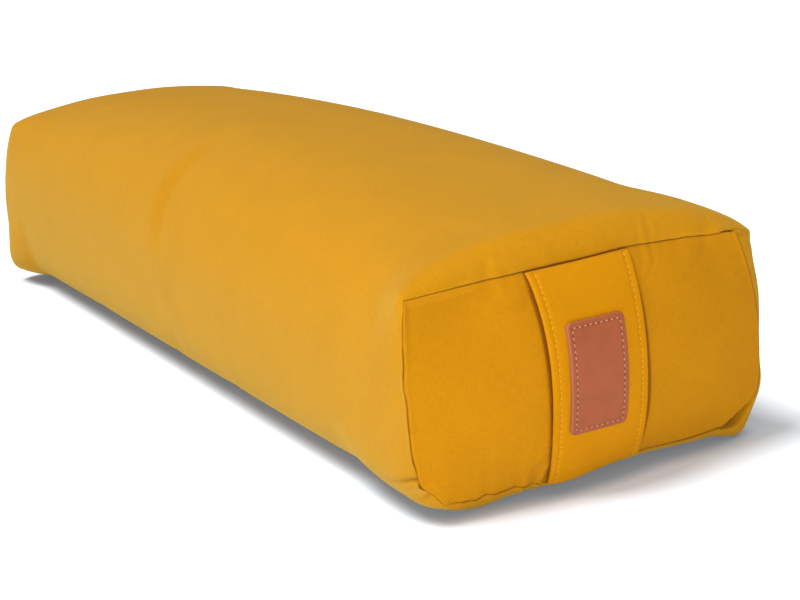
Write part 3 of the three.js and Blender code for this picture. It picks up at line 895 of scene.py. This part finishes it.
def strap_front(across, share):
    """How far the strap's front lies off its inner face, at a distance across it."""
    inset = strap_width(share) / 2 - np.abs(across)
    into_fold = 1 - np.clip(inset / FOLD_RADIUS, 0, 1)
    fold = STRAP_THICKNESS / 2 * (1 - np.sqrt(1 - into_fold ** 2))
    valley = VALLEY_DEPTH * np.exp(-((inset - STITCH_INSET) / VALLEY_WIDTH) ** 2)
    return STRAP_THICKNESS - fold - valley


def seam_edge(y, upper):
    """The height of the strap end's seam above, or below, the panel's middle."""
    edge = seams[1][((seams[1][:, 1] > SEAM_MIDDLE) == upper) & (np.abs(seams[1][:, 0]) < 60 * MM)]
    edge = edge[np.argsort(edge[:, 0])]
    return np.interp(y, edge[:, 0], edge[:, 1])


def strap_place(across, out, share):
    """Points of the strap at distances across it and off its inner face, its edges curled in
    and its ends following the seam."""
    point, facing = strap_line(share)
    curl = EDGE_CURL * (point[0] - SEAM_X - STRAP_SEAT) / STRAP_BOW
    lift = out - curl * np.abs(2 * across / strap_width(share)) ** 3
    y = STRAP_MIDDLE - STRAP_SLANT * share + across
    upper = share > 0
    end = STRAP_CENTRE + (STRAP_HALF if upper else -STRAP_HALF)
    follow = seam_edge(y, upper) - end - (STRAP_TUCK if upper else -STRAP_TUCK)
    z = point[1] + lift * facing[1] + follow * abs(share) ** 6
    return np.stack([point[0] + lift * facing[0], y, z], axis=-1)


half_insets = np.array([
    0, 0.05, 0.2, 0.45, 0.8, 1.2, 2, 2.8, 3.4, 3.9, 4.3, 4.7, 5.1, 5.7, 6.5, 8, 11, 15, 20,
]) * MM
strap_rings = []
strap_weave = []
length = 0
for i in range(STRAP_STEPS + 1):
    share = -math.cos(math.pi * i / STRAP_STEPS)
    width = strap_width(share)
    left = -width / 2 + half_insets
    front_across = np.concatenate([left, [0], -left[::-1]])
    back_across = np.array([0.5, 0.47, 0.3, 0, -0.3, -0.47, -0.5]) * width * 0.985
    front = strap_place(front_across, strap_front(front_across, share), share)
    back = strap_place(back_across, np.array([0.9, 0.1, 0, 0, 0, 0.1, 0.9]) * MM * 0.6, share)
    strap_rings.append(np.concatenate([front, back]))
    if i:
        length += np.linalg.norm(strap_rings[-1][20] - strap_rings[-2][20])
    across = np.concatenate([front_across, width - back_across, front_across[:1]])
    strap_weave.append(np.stack([across, np.full_like(across, length)], axis=1))
strap_rings = np.array(strap_rings)
strap = skin_mesh(
    "strap", strap_rings, strap_rings[0].mean(axis=0), strap_rings[-1].mean(axis=0), np.array(strap_weave)
)
strap.data.materials.append(cotton("strap_cotton", STRAP_COLOUR, sheen=0.04, slubs=0.04, mottle=0.05))
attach(strap, "root")
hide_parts("handle_strap")

# A painted shadow: the strap end panel's colour is darkened in a thin strip beside the strap's edges, wider
# on its right, as if in the shade of the gap beneath the strap.
GAP_SHADE, GAP_WIDTH, GAP_RIGHT, GAP_LEFT = 0.9, 1.0 * MM, 3.3 * MM, 0.3 * MM
behind = bpy.data.objects["strap_end_panel"].data
spots = np.empty(3 * len(behind.vertices))
behind.vertices.foreach_get("co", spots)
spots = spots.reshape(-1, 3)
spot_share = np.clip((spots[:, 2] - STRAP_CENTRE) / STRAP_HALF, -1, 1)
halves = [strap_width(share) / 2 for share in np.linspace(-1, 1, 50)]
aside = spots[:, 1] - STRAP_MIDDLE + STRAP_SLANT * spot_share
past_edge = np.abs(aside) - np.interp(spot_share, np.linspace(-1, 1, 50), halves)
past_edge -= np.where(aside > 0, GAP_RIGHT * (1 - spot_share ** 4), -GAP_LEFT)
shade = np.empty(len(behind.vertices))
behind.attributes["crease"].data.foreach_get("value", shade)
shade = np.maximum(shade, GAP_SHADE * np.clip(1 - past_edge / GAP_WIDTH, 0, 1))
behind.attributes["crease"].data.foreach_set("value", shade)


def thread_material(name, colour):
    """Twisted cotton thread."""
    material = bpy.data.materials.new(name)
    material.use_nodes = True
    shader = material.node_tree.nodes["Principled BSDF"]
    where = shader_node(material, "ShaderNodeTexCoord").outputs["Object"]
    twist = shader_node(
        material, "ShaderNodeTexNoise", {"Vector": where, "Scale": 1 / (0.3 * MM)}
    ).outputs["Fac"]
    shade = shader_node(material, "ShaderNodeMapRange", {
        "Value": twist, "To Min": 0.8, "To Max": 1.2,
    }).outputs["Result"]
    tone = shader_node(
        material, "ShaderNodeHueSaturation", {"Value": shade, "Color": (*colour, 1)}
    ).outputs["Color"]
    material.node_tree.links.new(tone, shader.inputs["Base Color"])
    shader.inputs["Roughness"].default_value = 0.7
    shader.inputs["Specular IOR Level"].default_value = 0.15
    return material


def stitch_mesh(name, stitches, radius):
    """Stitches of thread, each from a start to an end, lifted at its middle along its facing."""
    points = []
    faces = []
    for start, end, facing in stitches:
        sideways = np.cross(end - start, facing)
        sideways /= np.linalg.norm(sideways)
        first = len(points)
        for t, thick in [(0, 0.35), (0.12, 0.8), (0.35, 1), (0.65, 1), (0.88, 0.8), (1, 0.35)]:
            centre = start + t * (end - start) + facing * radius * (1.6 * math.sin(math.pi * t) - 0.9)
            for corner in range(6):
                angle = math.pi / 3 * corner
                swing = math.cos(angle) * facing + math.sin(angle) * sideways
                points.append(centre + radius * thick * swing)
        for ring in range(5):
            a = first + 6 * ring
            faces += [(a + i, a + (i + 1) % 6, a + 6 + (i + 1) % 6, a + 6 + i) for i in range(6)]
        faces.append(tuple(first + i for i in reversed(range(6))))
        faces.append(tuple(first + 30 + i for i in range(6)))
    mesh = bpy.data.meshes.new(name)
    mesh.from_pydata([tuple(p) for p in points], [], faces)
    mesh.polygons.foreach_set("use_smooth", [True] * len(mesh.polygons))
    mesh.update()
    return add_object(name, mesh)


def strap_spot(across, out, travelled_up):
    """A point and facing on the strap, at a distance across and up its length."""
    share = float(np.interp(travelled_up, strap_lengths, strap_shares))
    facing = strap_line(share)[1]
    place = strap_place(np.array(across), strap_front(np.array(across), share) + out, share)
    return place, np.array([facing[0], 0, facing[1]])


strap_shares = np.array([-math.cos(math.pi * i / STRAP_STEPS) for i in range(STRAP_STEPS + 1)])
strap_lengths = np.array(strap_weave)[:, 0, 1]
wander = np.random.default_rng(THREAD_SEED)
stitches = []
for way in (-1, 1):
    for i in range(int(strap_lengths[-1] / STITCH_PITCH)):
        low = (i + 0.2 + wander.uniform(-0.07, 0.07)) * STITCH_PITCH
        share = float(np.interp(low, strap_lengths, strap_shares))
        across = way * (strap_width(share) / 2 - STITCH_INSET + wander.uniform(-0.2, 0.2) * MM)
        out = wander.uniform(-0.14, 0.04) * MM
        long = STITCH_LENGTH * wander.uniform(0.8, 1.1)
        start, facing = strap_spot(across, out, low)
        end, _ = strap_spot(across + wander.uniform(-0.15, 0.15) * MM, out, low + long)
        stitches.append((start, end, facing))
strap_stitches = stitch_mesh("strap_stitches", stitches, THREAD_RADIUS)
strap_stitches.data.materials.append(thread_material("yellow_thread", STRAP_THREAD))
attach(strap_stitches, "root")

# The patch is a rounded rectangle of fine-grained tan leather, its cut edge left pale, sewn to
# the strap with cream thread through needle holes, shallow dimples whose shade is painted dark
# into the leather. Its face is left bare.
PATCH_WIDTH, PATCH_HEIGHT = 33.5 * MM, 58 * MM
PATCH_THICKNESS = 1.8 * MM
PATCH_CORNER = 3.4 * MM
PATCH_Y, PATCH_Z = -6.4 * MM, 63.3 * MM
PATCH_BEVEL = 0.6 * MM
PATCH_GAP = 0.1 * MM
HOLE_INSET, HOLE_PITCH, HOLE_RADIUS, HOLE_DEPTH = 2.8 * MM, 3.15 * MM, 0.42 * MM, 0.5 * MM
PATCH_THREAD_LENGTH, PATCH_THREAD_RADIUS = 1.7 * MM, 0.24 * MM
LEATHER = (0.25, 0.058, 0.017)
CUT_EDGE = (0.31, 0.10, 0.05)
NEEDLE_HOLE_SHADE = (0.10, 0.028, 0.012)
CREAM_THREAD = (0.42, 0.235, 0.14)
THREAD_SLANT = 0.3 * MM
PATCH_STEPS = 440


def patch_outline(inset, steps):
    """A rounded rectangle as rows of (across, up), inset from the patch's edge."""
    radius = PATCH_CORNER - inset
    side, up = PATCH_WIDTH / 2 - PATCH_CORNER, PATCH_HEIGHT / 2 - PATCH_CORNER
    corners = [(side, -up, -90), (side, up, 0), (-side, up, 90), (-side, -up, 180)]
    rows = [(0, -up - radius)]
    for across, height, start in corners:
        for turn in np.radians(np.linspace(start, start + 90, 10)):
            rows.append((across + radius * math.cos(turn), height + radius * math.sin(turn)))
    rows = np.array(rows)
    lengths = travelled(rows)
    wanted = np.linspace(0, lengths[-1], steps, endpoint=False)
    closed = np.vstack([rows, rows[:1]])
    return np.stack([np.interp(wanted, lengths, closed[:, i]) for i in (0, 1)], axis=1), lengths[-1]


def on_strap(rows, out):
    """Points off the strap's flat front, for (across, up) rows measured from the patch's middle."""
    points = []
    middle_up = float(np.interp((PATCH_Z - STRAP_CENTRE) / STRAP_HALF, strap_shares, strap_lengths))
    for (across, up), height in zip(rows, np.broadcast_to(out, len(rows))):
        share = float(np.interp(middle_up + up, strap_lengths, strap_shares))
        point, facing = strap_line(share)
        off = STRAP_THICKNESS + PATCH_GAP + height
        points.append((point[0] + off * facing[0], PATCH_Y + across, point[1] + off * facing[1]))
    return np.array(points)


hole_rows, hole_line = patch_outline(HOLE_INSET, 1000)
hole_count = round(hole_line / HOLE_PITCH)
hole_rows, hole_line = patch_outline(HOLE_INSET, hole_count)
rim_insets = [0, 0.08, 0.25, 0.6, 1.0, 1.5, 1.9]
groove_insets = [2.2, 2.4, 2.6, 2.8, 3.0, 3.2, 3.45, 3.8, 4.3]
patch_insets = np.array(rim_insets + groove_insets) * MM
patch_stack = [(patch_outline(0, PATCH_STEPS)[0], 0.0, 1.0)]
for inset in patch_insets:
    bevel = PATCH_BEVEL * (1 - math.sqrt(1 - (1 - min(inset / PATCH_BEVEL, 1)) ** 2))
    rows = patch_outline(inset, PATCH_STEPS)[0]
    patch_stack.append((rows, PATCH_THICKNESS - bevel, max(0, 1 - inset / PATCH_BEVEL)))
inner_rows = patch_stack[-1][0]
for share in np.linspace(1, 0.05, 12)[1:]:
    patch_stack.append((inner_rows * share, PATCH_THICKNESS, 0.0))
patch_points = []
hole_shade = []
edge_shade = []
for rows, height, edge in patch_stack:
    nearest = np.min(np.linalg.norm(rows[:, None] - hole_rows[None], axis=2), axis=1)
    hole = np.exp(-(nearest / HOLE_RADIUS) ** 2)
    patch_points.append(on_strap(rows, height - HOLE_DEPTH * hole))
    hole_shade.append(hole)
    edge_shade.append(np.full(len(rows), edge))
patch_points = np.array(patch_points)
patch_weave = np.array([np.vstack([rows, rows[:1]]) for rows, _, _ in patch_stack])
patch = skin_mesh(
    "patch", patch_points, patch_points[0].mean(axis=0), patch_points[-1].mean(axis=0), patch_weave
)
mark(patch, "needle_hole_shade", hole_shade)
mark(patch, "cut_edge", edge_shade)

leather = bpy.data.materials.new("tan_leather")
leather.use_nodes = True
leather_shader = leather.node_tree.nodes["Principled BSDF"]
grain_where = shader_node(leather, "ShaderNodeTexCoord").outputs["Object"]
grain = shader_node(leather, "ShaderNodeTexVoronoi", {
    "Vector": grain_where, "Scale": 1 / (0.55 * MM),
}, feature="SMOOTH_F1").outputs["Distance"]
cloudy = shader_node(leather, "ShaderNodeTexNoise", {
    "Vector": grain_where, "Scale": 1 / (8 * MM), "Detail": 4,
}).outputs["Fac"]
cloud_shade = shader_node(leather, "ShaderNodeMapRange", {
    "Value": cloudy, "From Min": 0.3, "From Max": 0.7, "To Min": 0.93, "To Max": 1.07,
}).outputs["Result"]
face_tone = shader_node(leather, "ShaderNodeHueSaturation", {
    "Value": cloud_shade, "Color": (*LEATHER, 1),
}).outputs["Color"]
edge_amount = shader_node(leather, "ShaderNodeAttribute", attribute_name="cut_edge").outputs["Fac"]
# Painted shade: the needle holes are darkened towards a deep brown.
hole_shade_amount = shader_node(leather, "ShaderNodeAttribute", attribute_name="needle_hole_shade").outputs["Fac"]
edged = shader_node(leather, "ShaderNodeMixRGB", {
    "Fac": edge_amount, "Color1": face_tone, "Color2": (*CUT_EDGE, 1),
}).outputs["Color"]
hole_shaded = shader_node(leather, "ShaderNodeMixRGB", {
    "Fac": hole_shade_amount, "Color1": edged, "Color2": (*NEEDLE_HOLE_SHADE, 1),
}).outputs["Color"]
leather.node_tree.links.new(hole_shaded, leather_shader.inputs["Base Color"])
grain_bump = shader_node(leather, "ShaderNodeBump", {
    "Height": grain, "Strength": 0.35, "Distance": 0.1 * MM,
}).outputs["Normal"]
leather.node_tree.links.new(grain_bump, leather_shader.inputs["Normal"])
leather_shader.inputs["Roughness"].default_value = 0.55
leather_shader.inputs["Specular IOR Level"].default_value = 0.25
patch.data.materials.append(leather)
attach(patch, "root")
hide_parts("leather_patch")

stitches = []
hole_steps = 20
fine_rows, _ = patch_outline(HOLE_INSET, hole_count * hole_steps)
reach = round(hole_steps * (1 - PATCH_THREAD_LENGTH / HOLE_PITCH) / 2)
for i in range(hole_count):
    a = fine_rows[(i * hole_steps + reach) % len(fine_rows)]
    b = fine_rows[((i + 1) * hole_steps - reach) % len(fine_rows)]
    aside = np.array([b[1] - a[1], a[0] - b[0]]) / np.linalg.norm(b - a) * THREAD_SLANT / 2
    start, end = on_strap([a + aside, b - aside], PATCH_THICKNESS)
    ahead, above = on_strap([a, a], [PATCH_THICKNESS, PATCH_THICKNESS + 1 * MM])
    stitches.append((start, end, (above - ahead) / np.linalg.norm(above - ahead)))
patch_stitches = stitch_mesh("patch_stitches", stitches, PATCH_THREAD_RADIUS)
patch_stitches.data.materials.append(thread_material("cream_thread", CREAM_THREAD))
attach(patch_stitches, "root")
